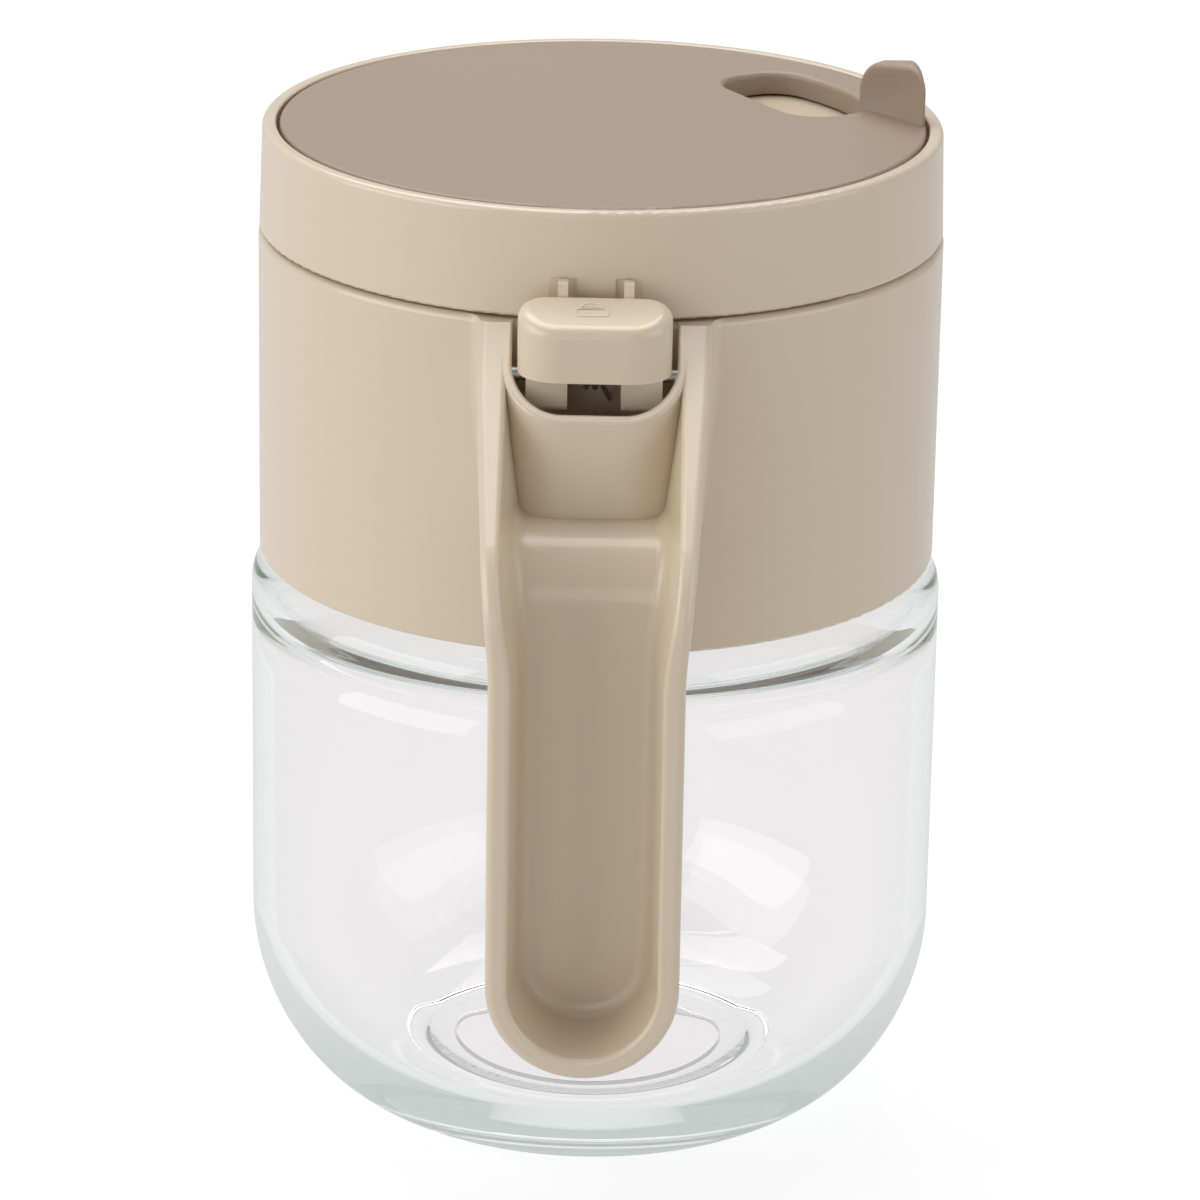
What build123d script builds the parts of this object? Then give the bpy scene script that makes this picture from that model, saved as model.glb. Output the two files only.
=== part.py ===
from build123d import *
import os
from math import atan2, cos, degrees, radians, sin, sqrt, tan

# A glass condiment pot with a screw-on collar and handle, a hinged lid that a thumb button lets go,
# and a turning disc in the lid that uncovers sprinkling holes or a pouring hole.
# The origin is on the jar's axis at the table, +Z is up, the handle points to -Y and the hinge to +Y.
# All sizes are millimetres.

# Collar: its outer radius is the size that the whole pot follows
collar_radius = 42.1
collar_wall = 2.4
collar_bottom_z = 73.0
collar_height = 41.1
deck_thickness = 2.0
collar_edge = 0.9            # rounding of the collar's top edge

# Threaded sleeve inside the collar, and the seal on the glass lip
sleeve_wall = 2.4
sleeve_gap = 0.05            # sleeve to collar, all round
thread_room = 1.75           # sleeve to glass neck, where the threads stand
shelf_thickness = 2.0
seal_thickness = 1.4
seal_width = 3.0
seal_gap = 0.2               # between the seal and the shelf above it
mouth_step = 2.9             # mouth tube's bore inside the neck's outer side
mouth_wall = 1.6
mouth_height = 1.9           # how far the mouth stands above the collar's deck
foot_of_sleeve_gap = 1.8     # sleeve above the glass shoulder

# Glass jar
jar_step = 1.0               # how far the glass stands out beyond the collar
jar_wall = 2.8
jar_floor = 6.0
heel_width = 22.0            # how far the rounded heel reaches in from the side
heel_height = 25.4
heel_bend = 20.0             # radius of the heel's lower part
foot_width = 3.4             # flat ring that the jar stands on
push_up = 1.6                # hollow under the base
inner_heel_width = 17.5
inner_heel_height = 20.0
inner_heel_bend = 15.5
shoulder_gap = 0.7           # between the glass shoulder and the collar
shoulder_radius = 4.0
shoulder_glass = 3.4         # glass thickness on top of the shoulder
neck_wall = 3.5
neck_height = 19.5
lip_fillet = 1.1

# Handle
handle_out = 29.9            # collar to the handle's outer face
handle_height = 82.6         # collar's top to the handle's lower end
handle_slope = 37.0          # fall of the handle's top, degrees
handle_knee = 12.0           # bend radius below the slope
handle_low_width = 22.5
handle_top_width = 27.2
flare_start = 33.1           # below the collar's top: where the handle starts to widen upwards
flare_end = 6.1
flare_bend = 30.0
handle_rim = 2.5             # rail width at the outer face
channel_depth = 10.5
channel_flare = 8.5          # widening of the channel towards the top, degrees
channel_draft = 6.5          # lean of the channel's side walls, degrees
channel_fillet = 1.6
handle_wall = 2.2
handle_edge = 1.0            # rounding of the handle's outer edges
rim_edge = 0.6
lip_edge = 0.4               # rounding of the pocket's lip
back_edge = 1.8
arch_drop = 25.1             # collar's top to the underside of the handle's root
arch_radius = 7.0
root_fillet = 2.0

# Button pocket in the handle's root
pocket_side = 4.0            # handle's widest side to the pocket
pocket_depth = 9.9           # collar to the pocket's front wall
pocket_corner = 6.0
pocket_drop = 18.3           # collar's top to the pocket's floor
pocket_wall = 1.3
tub_floor = 1.8              # thickness under the pocket's floor

# Press button
button_side_gap = 0.65       # button to the pocket's sides
button_front_gap = 0.2
button_rear_gap = 1.3        # collar to the button's rear wall
button_drop = 4.3            # collar's top down to the button's lower edge
button_rise = 4.4            # collar's top up to the button's rear edge
button_slope = 15.5          # fall of the button's top, degrees
button_front_corner = 5.0
button_rear_corner = 3.2
button_edge = 1.5
button_wall = 1.5
prong_width = 1.2
prong_spacing = 7.66
prong_rise = 5.4             # collar's top up to the prongs' tips
prong_gap = 0.25             # between the prongs and the lid's wall
leg_side = 1.05              # button's side to the legs under it
leg_width = 4.8
leg_depth = 3.0
leg_length = 4.5             # below the button's lower edge
pivot_out = 4.7              # collar to the button's pivot
pivot_drop = 4.7             # collar's top down to the pivot
latch_pin_radius = 0.8
pin_bite = 2.2               # how far the latch pin enters each side of the pocket
running_gap = 0.04           # radial clearance where something turns
fixed_gap = 0.01             # radial clearance where a pin is held

# Lid
seam_gap = 0.3
lid_step = 0.1               # how far the lid's wall stands in from the collar's
lid_height = 12.9
lid_draft = 0.4              # how much narrower the lid is at its top edge
lid_rim = 1.7
lid_edge = 0.7
lid_plate = 2.0
hub_bore_length = 5.0
hub_boss_wall = 3.0
sprinkle_hole = 3.2
sprinkle_azimuth = 92.0
sprinkle_margin = 0.3        # outer row of holes to the liner's skirt
sprinkle_row = 4.3           # between the row of three holes and the row of two
sprinkle_step = 5.6          # between neighbouring holes
pour_azimuth = 152.0
pour_margin = 1.2            # pouring hole inside the slot's outline
pour_edge = 0.9              # pouring hole to the liner's skirt
pour_corner = 2.0
catch_width = 3.2            # shallow recesses that the prongs' tips face
catch_height = 2.4
catch_depth = 0.5

# Liner and seal under the lid
liner_gap = 1.2              # liner's skirt to the mouth's bore
liner_wall = 1.4
liner_plate = 2.0
liner_depth = 15.6
cup_wall = 1.2
cup_gap = 0.1                # cup to the lid's boss
cup_clearance = 0.8          # under the screw's head
lid_seal_gap = 0.35          # lid's seal to the mouth's bore
lid_seal_height = 2.4
lid_seal_groove = 0.5
lid_seal_bevel = 0.7
lid_seal_rise = 1.2          # seal above the liner's lower end

# Turning disc
disc_gap = 0.4               # round the disc's edge
disc_thickness = 2.8
disc_float = 0.3             # under the disc
disc_edge = 0.5
hub_radius = 4.0
slot_azimuth = 32.0
slot_rim = 5.1               # disc's edge to the slot
slot_width = 12.2
slot_length = 21.8
slot_corner = 4.8
slot_edge = 0.7
tab_azimuth = 41.0           # direction that the tab's flat sides face
tab_inset = 10.2             # disc's edge in to the tab's front face, along that direction
tab_aside = 19.3             # disc's edge in to the tab's middle, across that direction
tab_length = 12.4
tab_thickness = 2.6
tab_height = 6.7             # above the disc, at the tab's middle
tab_slope = 8.5              # rise of the tab's top towards the disc's edge, degrees
tab_corner = 3.2
tab_dish_radius = 37.0       # hollow of the tab's front face
tab_edge = 0.7
tab_rim_gap = 0.2            # tab's outer side in from the disc's
washer_radius = 6.0
washer_thickness = 0.8
screw_head_radius = 2.6
screw_head_height = 1.6
screw_radius = 1.1
screw_length = 6.0

# Rear hinge
hinge_out = 3.9              # collar to the hinge's axis
hinge_drop = 1.1             # hinge axis below the collar's top
hinge_pin_radius = 1.0
knuckle_radius = 3.2
lug_radius = 3.4
lug_width = 3.0
lug_gap = 0.3                # between lugs and ears
lug_foot = 13.0              # how far the lugs run down the collar
ear_inner = 3.6              # lid's ears, from the middle plane
ear_width = 2.4
ear_web_height = 8.0
bridge_height = 1.2          # bar between the ears that the spring pushes
bridge_depth = 1.2
bridge_gap = 0.15            # spring's leg to the bar

# Springs
wire_radius = 0.3
wire_pitch = 1.02
hinge_coil_radius = 1.6
hinge_coil_turns = 3
hinge_leg_up = 4.4
hinge_leg_lean = 14.0        # lower leg towards the collar, degrees
latch_coil_radius = 1.45
latch_coil_turns = 2
latch_leg_lean = 10.0        # upper leg away from the lid, degrees
latch_leg_wrap = 60.0        # how far the lower leg's end wraps under the coil, degrees
spring_gap = 0.2             # between a leg's end and what it pushes on

# Radii and reaches that follow
collar_inner = collar_radius - collar_wall
sleeve_outer = collar_inner - sleeve_gap
sleeve_inner = sleeve_outer - sleeve_wall
jar_radius = collar_radius + jar_step
neck_radius = sleeve_inner - thread_room
mouth_radius = neck_radius - mouth_step
mouth_outer = mouth_radius + mouth_wall
handle_reach = collar_radius + handle_out
pocket_front = collar_radius + pocket_depth
pocket_width = handle_top_width - 2 * pocket_side
button_front = pocket_front - button_front_gap
button_rear = collar_radius + button_rear_gap
button_width = pocket_width - 2 * button_side_gap
leg_outer = button_width / 2 - leg_side
leg_inner = leg_outer - leg_width
pivot_reach = collar_radius + pivot_out
lid_radius = collar_radius - lid_step
rim_inner = lid_radius - lid_draft - lid_rim
disc_radius = rim_inner - disc_gap
boss_radius = hub_radius + running_gap + hub_boss_wall
liner_radius = mouth_radius - liner_gap
liner_inner = liner_radius - liner_wall
slot_outer = disc_radius - slot_rim
slot_inner = slot_outer - slot_width
sprinkle_outer_row = liner_inner - sprinkle_margin - sprinkle_hole / 2
sprinkle_inner_row = sprinkle_outer_row - sprinkle_row
hinge_y = collar_radius + hinge_out
ear_outer = ear_inner + ear_width
lug_inner = ear_outer + lug_gap
lug_outer = lug_inner + lug_width

# Heights that follow
collar_top_z = collar_bottom_z + collar_height
deck_under_z = collar_top_z - deck_thickness
shoulder_z = collar_bottom_z - shoulder_gap
lip_z = shoulder_z + neck_height
shelf_z = lip_z + seal_thickness + seal_gap
handle_bottom_z = collar_top_z - handle_height
flare_start_z = collar_top_z - flare_start
flare_end_z = collar_top_z - flare_end
arch_z = collar_top_z - arch_drop
pocket_floor_z = collar_top_z - pocket_drop
tub_floor_z = pocket_floor_z - tub_floor
button_bottom_z = collar_top_z - button_drop
button_rear_z = collar_top_z + button_rise
leg_bottom_z = button_bottom_z - leg_length
pivot_z = collar_top_z - pivot_drop
prong_top_z = collar_top_z + prong_rise
lid_bottom_z = collar_top_z + seam_gap
lid_top_z = lid_bottom_z + lid_height
plate_top_z = lid_top_z - disc_thickness - disc_float
plate_under_z = plate_top_z - lid_plate
disc_under_z = lid_top_z - disc_thickness
boss_end_z = plate_top_z - hub_bore_length
hub_end_z = boss_end_z - disc_float
hinge_z = collar_top_z - hinge_drop
liner_under_z = plate_under_z - liner_plate


def corner(x, y):
    """The vertex of the sketch in hand that lies nearest to a point."""
    return vertices().sort_by_distance((x, y, 0))[0]


def touches(edge, others):
    """Whether the middle of an edge lies on one of some other shapes."""
    middle = Vertex(edge @ 0.5)
    return min(other.distance_to(middle) for other in others) < 0.001


def slot_outline(inner, outer, half, corner_radius):
    """Half-round opening with a straight inner side, on the slot's own axis."""
    reach = sqrt(outer**2 - half**2)
    with BuildSketch() as outline:
        with BuildLine():
            Polyline((reach, -half), (inner, -half), (inner, half), (reach, half))
            ThreePointArc((reach, half), (outer, 0), (reach, -half))
        make_face()
        fillet(outline.vertices(), corner_radius)
    return outline.sketch


def sprinkle_holes(z, depth):
    """Rows of two and three holes through a plate, cut from the part in hand."""
    for row, count in ((sprinkle_inner_row, 2), (sprinkle_outer_row, 3)):
        span = degrees(sprinkle_step / row) * (count - 1)
        with BuildSketch(Plane.XY.offset(z)) as holes:
            with PolarLocations(row, count, sprinkle_azimuth - span / 2, span, endpoint=True):
                Circle(sprinkle_hole / 2)
        extrude(holes.sketch, amount=depth, mode=Mode.SUBTRACT)


def pouring_hole(z, depth):
    """Pouring hole through a plate, cut from the part in hand."""
    half = slot_length / 2 - pour_margin
    with BuildSketch(Plane.XY.offset(z).rotated((0, 0, pour_azimuth))) as hole:
        add(slot_outline(slot_inner + pour_margin, liner_inner - pour_edge, half, pour_corner))
    extrude(hole.sketch, amount=depth, mode=Mode.SUBTRACT)


def heel_curve(foot, bottom_z, width, height, bend):
    """Two arcs that meet smoothly, from flat at the foot to upright at the jar's side."""
    upper_bend = (width**2 + height**2 - 2 * height * bend) / (2 * (width - bend))
    meeting = degrees(atan2(height - bend, upper_bend - width))
    CenterArc((foot, bottom_z + bend), bend, -90, 90 - meeting)
    CenterArc((foot + width - upper_bend, bottom_z + height), upper_bend, -meeting, meeting)


# Glass jar: one turned wall from the hollow under the base to the lip
foot_radius = jar_radius - heel_width
jar_inner = jar_radius - jar_wall
neck_inner = neck_radius - neck_wall
inner_shoulder_z = shoulder_z - shoulder_glass
inner_shoulder_radius = shoulder_radius - 0.5
inner_flat = jar_inner - inner_heel_width

with BuildPart() as glass_jar:
    with BuildSketch(Plane.XZ):
        with BuildLine():
            Polyline(
                (0, jar_floor),
                (0, push_up),
                (foot_radius - foot_width - 2 * push_up, push_up),
                (foot_radius - foot_width, 0),
                (foot_radius, 0),
            )
            heel_curve(foot_radius, 0, heel_width, heel_height, heel_bend)
            Line((jar_radius, heel_height), (jar_radius, shoulder_z - shoulder_radius))
            CenterArc(
                (jar_radius - shoulder_radius, shoulder_z - shoulder_radius), shoulder_radius, 0, 90
            )
            Polyline(
                (jar_radius - shoulder_radius, shoulder_z),
                (neck_radius, shoulder_z),
                (neck_radius, lip_z),
                (neck_inner, lip_z),
                (neck_inner, inner_shoulder_z),
                (jar_inner - inner_shoulder_radius, inner_shoulder_z),
            )
            CenterArc(
                (jar_inner - inner_shoulder_radius, inner_shoulder_z - inner_shoulder_radius),
                inner_shoulder_radius,
                90,
                -90,
            )
            Line(
                (jar_inner, inner_shoulder_z - inner_shoulder_radius),
                (jar_inner, jar_floor + inner_heel_height),
            )
            heel_curve(inner_flat, jar_floor, inner_heel_width, inner_heel_height, inner_heel_bend)
            Line((inner_flat, jar_floor), (0, jar_floor))
        make_face()
        fillet([corner(neck_radius, lip_z), corner(neck_inner, lip_z)], lip_fillet)
        fillet(corner(neck_radius, shoulder_z), lip_fillet)
        fillet(corner(neck_inner, inner_shoulder_z), lip_fillet)
    revolve()
glass_jar.part.label = "glass_jar"

# Seal that lies on the glass lip
seal_inner = neck_radius - neck_wall / 2 - seal_width / 2
with BuildPart() as neck_seal:
    with BuildSketch(Plane.XY.offset(lip_z)):
        Circle(seal_inner + seal_width)
        Circle(seal_inner, mode=Mode.SUBTRACT)
    extrude(amount=seal_thickness)
neck_seal.part.label = "neck_seal"

# Threaded sleeve with the shelf over the glass lip and the mouth tube above it
mouth_top_z = collar_top_z + mouth_height
shelf_top_z = shelf_z + shelf_thickness
with BuildPart() as thread_sleeve:
    with BuildSketch(Plane.XZ):
        with BuildLine():
            Polyline(
                (sleeve_inner, shoulder_z + foot_of_sleeve_gap),
                (sleeve_outer, shoulder_z + foot_of_sleeve_gap),
                (sleeve_outer, shelf_top_z),
                (mouth_outer, shelf_top_z),
                (mouth_outer, mouth_top_z),
                (mouth_radius, mouth_top_z),
                (mouth_radius, shelf_z),
                (sleeve_inner, shelf_z),
                close=True,
            )
        make_face()
        fillet([corner(mouth_outer, mouth_top_z), corner(mouth_radius, mouth_top_z)], mouth_wall * 0.4)
        chamfer(corner(mouth_outer, shelf_top_z), shelf_thickness / 2)
    revolve()
thread_sleeve.part.label = "thread_sleeve"



def at_side_or_end(edge):
    """Whether an edge of the handle or its channel runs down a side or round the lower end."""
    return abs(edge.center().X) > low / 2 or edge.center().Z < end_z


# Handle: a side profile and a front outline cut from each other
knee_drop = (handle_reach - collar_radius) * tan(radians(handle_slope))
channel_floor_y = handle_reach - channel_depth
back_y = channel_floor_y - handle_wall
root_y = collar_inner - 4.0
low = handle_low_width / 2
top = handle_top_width / 2
end_z = handle_bottom_z + low
with BuildPart() as handle:
    with BuildSketch(Plane.YZ):
        with BuildLine():
            Polyline(
                (-root_y, collar_top_z),
                (-collar_radius, collar_top_z),
                (-handle_reach, collar_top_z - knee_drop),
                (-handle_reach, handle_bottom_z),
                (-back_y, handle_bottom_z),
                (-back_y, arch_z),
                (-root_y, arch_z),
                close=True,
            )
        make_face()
        fillet(corner(-handle_reach, collar_top_z - knee_drop), handle_knee)
        fillet(corner(-back_y, arch_z), arch_radius)
    extrude(amount=top, both=True)
    with BuildSketch(Plane.XZ):
        with BuildLine():
            Polyline(
                (-low, end_z),
                (-low, flare_start_z),
                (-top, flare_end_z),
                (-top, collar_top_z),
                (top, collar_top_z),
                (top, flare_end_z),
                (low, flare_start_z),
                (low, end_z),
            )
            ThreePointArc((low, end_z), (0, handle_bottom_z), (-low, end_z))
        make_face()
        fillet([corner(-low, flare_start_z), corner(low, flare_start_z)], flare_bend)
        fillet([corner(-top, flare_end_z), corner(top, flare_end_z)], flare_bend)
    extrude(amount=handle_reach, mode=Mode.INTERSECT)
    front_faces = handle.faces().filter_by(lambda f: f.normal_at().Y < -0.5)
    fillet(front_faces.edges().filter_by(at_side_or_end), handle_edge)
    back_faces = handle.faces().filter_by(lambda f: f.normal_at().Y > 0.5 and f.center().Y < -collar_radius)
    fillet(back_faces.edges().filter_by(at_side_or_end), back_edge)

# Tub: the button pocket's outside, which stands in the top of the channel
tub_front = pocket_front + pocket_wall
pocket_half = pocket_width / 2
tub_half = pocket_half + pocket_wall
with BuildPart() as tub:
    with BuildSketch(Plane.XY.offset(tub_floor_z)):
        with BuildLine():
            Polyline(
                (-tub_half, -root_y),
                (-tub_half, -tub_front),
                (tub_half, -tub_front),
                (tub_half, -root_y),
                close=True,
            )
        make_face()
        fillet([corner(-tub_half, -tub_front), corner(tub_half, -tub_front)], pocket_corner + pocket_wall)
    extrude(amount=collar_top_z - tub_floor_z)
    add(handle.part, mode=Mode.INTERSECT)
    tub_top = tub.faces().filter_by(lambda f: f.normal_at().Z > 0.5).sort_by(Axis.Y)[0]
    fillet(tub_top.edges().filter_by(lambda e: e.center().Y < -tub_front + pocket_corner / 2), lip_edge)

# Channel down the middle of the handle
channel_half = low - handle_rim
channel_top_half = channel_half + (collar_top_z - flare_start_z) * tan(radians(channel_flare))
channel_face = Plane((0, -handle_reach, 0), x_dir=(-1, 0, 0), z_dir=(0, 1, 0))
floor_bend = channel_floor_y - tub_front
with BuildPart() as channel:
    with BuildSketch(channel_face):
        with BuildLine():
            Polyline(
                (-channel_half, end_z),
                (-channel_half, flare_start_z),
                (-channel_top_half, collar_top_z),
                (channel_top_half, collar_top_z),
                (channel_half, flare_start_z),
                (channel_half, end_z),
            )
            ThreePointArc((channel_half, end_z), (0, end_z - channel_half), (-channel_half, end_z))
        make_face()
        fillet([corner(-channel_half, flare_start_z), corner(channel_half, flare_start_z)], flare_bend)
    extrude(amount=handle_reach - collar_radius, taper=channel_draft)
    with BuildSketch(Plane.YZ):
        with BuildLine():
            Polyline(
                (-channel_floor_y, tub_floor_z - floor_bend),
                (-channel_floor_y, handle_bottom_z),
                (-handle_reach, handle_bottom_z),
                (-handle_reach, collar_top_z),
                (-button_rear, collar_top_z),
                (-button_rear, tub_floor_z),
                (-tub_front, tub_floor_z),
            )
            CenterArc((-tub_front, tub_floor_z - floor_bend), floor_bend, 90, 90)
        make_face()
    extrude(amount=handle_top_width, both=True, mode=Mode.INTERSECT)
    floor_edges = channel.edges().filter_by(
        lambda e: -channel_floor_y - 0.01 < e.center().Y < -tub_front and e.center().Z < tub_floor_z
    )
    fillet(floor_edges.filter_by(at_side_or_end), channel_fillet)

# Rails and pocket cut into the handle
with BuildPart() as grip:
    add(handle.part)
    add(channel.part, mode=Mode.SUBTRACT)
    skin = handle.faces().filter_by(lambda f: f.normal_at().Y < -0.5)
    rim_edges = grip.edges().filter_by(lambda e: touches(e, [channel.part]) and touches(e, skin))
    fillet(rim_edges.filter_by(at_side_or_end), rim_edge)
    add(tub.part)
    with BuildSketch(Plane.XY.offset(pocket_floor_z)):
        with BuildLine():
            Polyline(
                (-pocket_half, -root_y),
                (-pocket_half, -pocket_front),
                (pocket_half, -pocket_front),
                (pocket_half, -root_y),
                close=True,
            )
        make_face()
        fillet([corner(-pocket_half, -pocket_front), corner(pocket_half, -pocket_front)], pocket_corner)
    extrude(amount=collar_top_z - pocket_floor_z + collar_edge, mode=Mode.SUBTRACT)
    lip_edges = grip.edges().filter_by(
        lambda e: e.center().Z > tub_floor_z + 5 and touches(e, skin)
        and abs(e.center().X) < pocket_half + pocket_wall / 2 and e.center().Y < -collar_radius
    )
    fillet(lip_edges, lip_edge)

# Collar with its deck, the handle, the button's pocket and the rear lugs
with BuildPart() as collar_handle:
    with BuildSketch(Plane.XZ):
        with BuildLine():
            Polyline(
                (collar_inner, collar_bottom_z),
                (collar_radius, collar_bottom_z),
                (collar_radius, collar_top_z),
                (mouth_outer + sleeve_gap, collar_top_z),
                (mouth_outer + sleeve_gap, deck_under_z),
                (collar_inner, deck_under_z),
                close=True,
            )
        make_face()
        fillet(corner(collar_radius, collar_top_z), collar_edge)
        fillet(corner(collar_radius, collar_bottom_z), collar_wall * 0.2)
        fillet(corner(collar_inner, deck_under_z), collar_wall * 0.4)
    revolve()
    add(grip.part)
    with BuildSketch():
        Circle(collar_inner)
    extrude(amount=deck_under_z - collar_wall * 0.4, mode=Mode.SUBTRACT)
    for side in (-1, 1):
        with BuildSketch(Plane.YZ.offset(side * (lug_inner + lug_outer) / 2)):
            with BuildLine():
                Polyline(
                    (collar_radius - collar_wall / 2, hinge_z),
                    (hinge_y + lug_radius, hinge_z),
                    (collar_radius, hinge_z - lug_foot),
                    (collar_radius - collar_wall / 2, hinge_z - lug_foot),
                    close=True,
                )
            make_face()
            with Locations((hinge_y, hinge_z)):
                Circle(lug_radius)
        extrude(amount=(lug_outer - lug_inner) / 2, both=True)
    with BuildSketch(Plane.YZ):
        with Locations((hinge_y, hinge_z)):
            Circle(hinge_pin_radius + fixed_gap)
    extrude(amount=lug_outer, both=True, mode=Mode.SUBTRACT)
    with BuildSketch(Plane.YZ):
        with Locations((-pivot_reach, pivot_z)):
            Circle(latch_pin_radius + fixed_gap)
    extrude(amount=pocket_width / 2 + pin_bite, both=True, mode=Mode.SUBTRACT)
    root_edges = collar_handle.edges().filter_by(
        lambda e: e.geom_type != GeomType.LINE
        and abs(e.center().X) > low
        and -collar_radius < e.center().Y < -collar_inner + 1
        and arch_z + 2 < e.center().Z < collar_top_z - 3
    )
    fillet(root_edges, root_fillet)
collar_handle.part.label = "collar_handle"

# Pins
pin_length = pocket_width + 2 * pin_bite - 0.2
with BuildPart() as latch_pin:
    with BuildSketch(Plane.YZ):
        with Locations((-pivot_reach, pivot_z)):
            Circle(latch_pin_radius)
    extrude(amount=pin_length / 2, both=True)
    chamfer(latch_pin.edges(), latch_pin_radius / 4)
latch_pin.part.label = "latch_pin"

with BuildPart() as hinge_pin:
    with BuildSketch(Plane.YZ):
        with Locations((hinge_y, hinge_z)):
            Circle(hinge_pin_radius)
    extrude(amount=lug_outer, both=True)
    chamfer(hinge_pin.edges(), hinge_pin_radius / 4)
hinge_pin.part.label = "hinge_pin"


def torsion_spring(name, y, z, radius, turns, arrive, leave, leg_up, leg_down):
    """Coil along X with two straight legs: angles are measured in the YZ plane, from +Y to +Z."""
    sweep_angle = 360 * turns + leave - arrive
    length = wire_pitch * sweep_angle / 360
    start = Plane(
        origin=(-length / 2, y, z), x_dir=(0, cos(radians(arrive)), sin(radians(arrive))), z_dir=(1, 0, 0)
    )
    coil = start.location * Helix(wire_pitch, length, radius)
    with BuildPart() as spring:
        with BuildSketch(Plane(origin=coil @ 0, z_dir=coil % 0)):
            Circle(wire_radius)
        sweep(path=coil, is_frenet=True)
        with BuildSketch(Plane(origin=coil @ 0, z_dir=-(coil % 0))):
            Circle(wire_radius)
        extrude(amount=leg_up)
        with BuildSketch(Plane(origin=coil @ 1, z_dir=coil % 1)):
            Circle(wire_radius)
        extrude(amount=leg_down)
    one_turn = 360 / sweep_angle
    turn_gap = min(
        (coil @ (step * one_turn / 8) - coil @ (step * one_turn / 8 + one_turn)).length
        for step in range(int(8 * (turns - 1)))
    )
    print(name, "least gap between turns", round(turn_gap - 2 * wire_radius, 2))
    spring.part.label = name
    return spring.part


latch_lean = radians(latch_leg_lean)
latch_wrap = radians(latch_leg_wrap)
button_fall_rate = tan(radians(button_slope))
cap_under_z = button_rear_z - button_wall - spring_gap
latch_start_reach = pivot_reach + latch_coil_radius * cos(latch_lean)
latch_start_z = pivot_z - latch_coil_radius * sin(latch_lean)
latch_leg_up = (cap_under_z - (latch_start_reach - button_rear) * button_fall_rate - latch_start_z) / (
    cos(latch_lean) + sin(latch_lean) * button_fall_rate
)
latch_end_reach = collar_radius + spring_gap + wire_radius * cos(latch_wrap)
latch_leg_down = (pivot_reach + latch_coil_radius * cos(latch_wrap) - latch_end_reach) / sin(latch_wrap)
latch_spring = torsion_spring(
    "latch_spring",
    -pivot_reach,
    pivot_z,
    latch_coil_radius,
    latch_coil_turns,
    180 + latch_leg_lean,
    180 + latch_leg_wrap,
    latch_leg_up,
    latch_leg_down,
)
hinge_lean = radians(hinge_leg_lean)
hinge_end_reach = collar_radius + spring_gap + wire_radius * cos(hinge_lean)
hinge_leg_down = (hinge_y - hinge_coil_radius * cos(hinge_lean) - hinge_end_reach) / sin(hinge_lean)
hinge_spring = torsion_spring(
    "hinge_spring",
    hinge_y,
    hinge_z,
    hinge_coil_radius,
    hinge_coil_turns,
    180,
    180 - hinge_leg_lean,
    hinge_leg_up,
    hinge_leg_down,
)

# Press button: a hollow cap with two prongs behind it and two legs that ride on the pin
button_fall = (button_front - button_rear) * button_fall_rate
leg_middle = (leg_inner + leg_outer) / 2
leg_front = pivot_reach + leg_depth / 2
leg_rear = pivot_reach - leg_depth / 2


def button_block(margin):
    """The button's rounded outline under its sloping top, drawn in by a margin all round."""
    half = button_width / 2 - margin
    front = button_front - margin
    rear = button_rear + margin
    with BuildPart() as block:
        with BuildSketch(Plane.XY.offset(button_bottom_z)):
            with BuildLine():
                Polyline((-half, -rear), (-half, -front), (half, -front), (half, -rear), close=True)
            make_face()
            fillet([corner(-half, -front), corner(half, -front)], button_front_corner - margin)
            fillet([corner(-half, -rear), corner(half, -rear)], button_rear_corner - margin)
        extrude(amount=button_rear_z - button_bottom_z)
        with BuildSketch(Plane.YZ):
            with BuildLine():
                Polyline(
                    (-button_rear, button_bottom_z),
                    (-button_rear, button_rear_z - margin),
                    (-button_front, button_rear_z - margin - button_fall),
                    (-button_front, button_bottom_z),
                    close=True,
                )
            make_face()
        extrude(amount=button_width, both=True, mode=Mode.INTERSECT)
    return block.part


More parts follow.
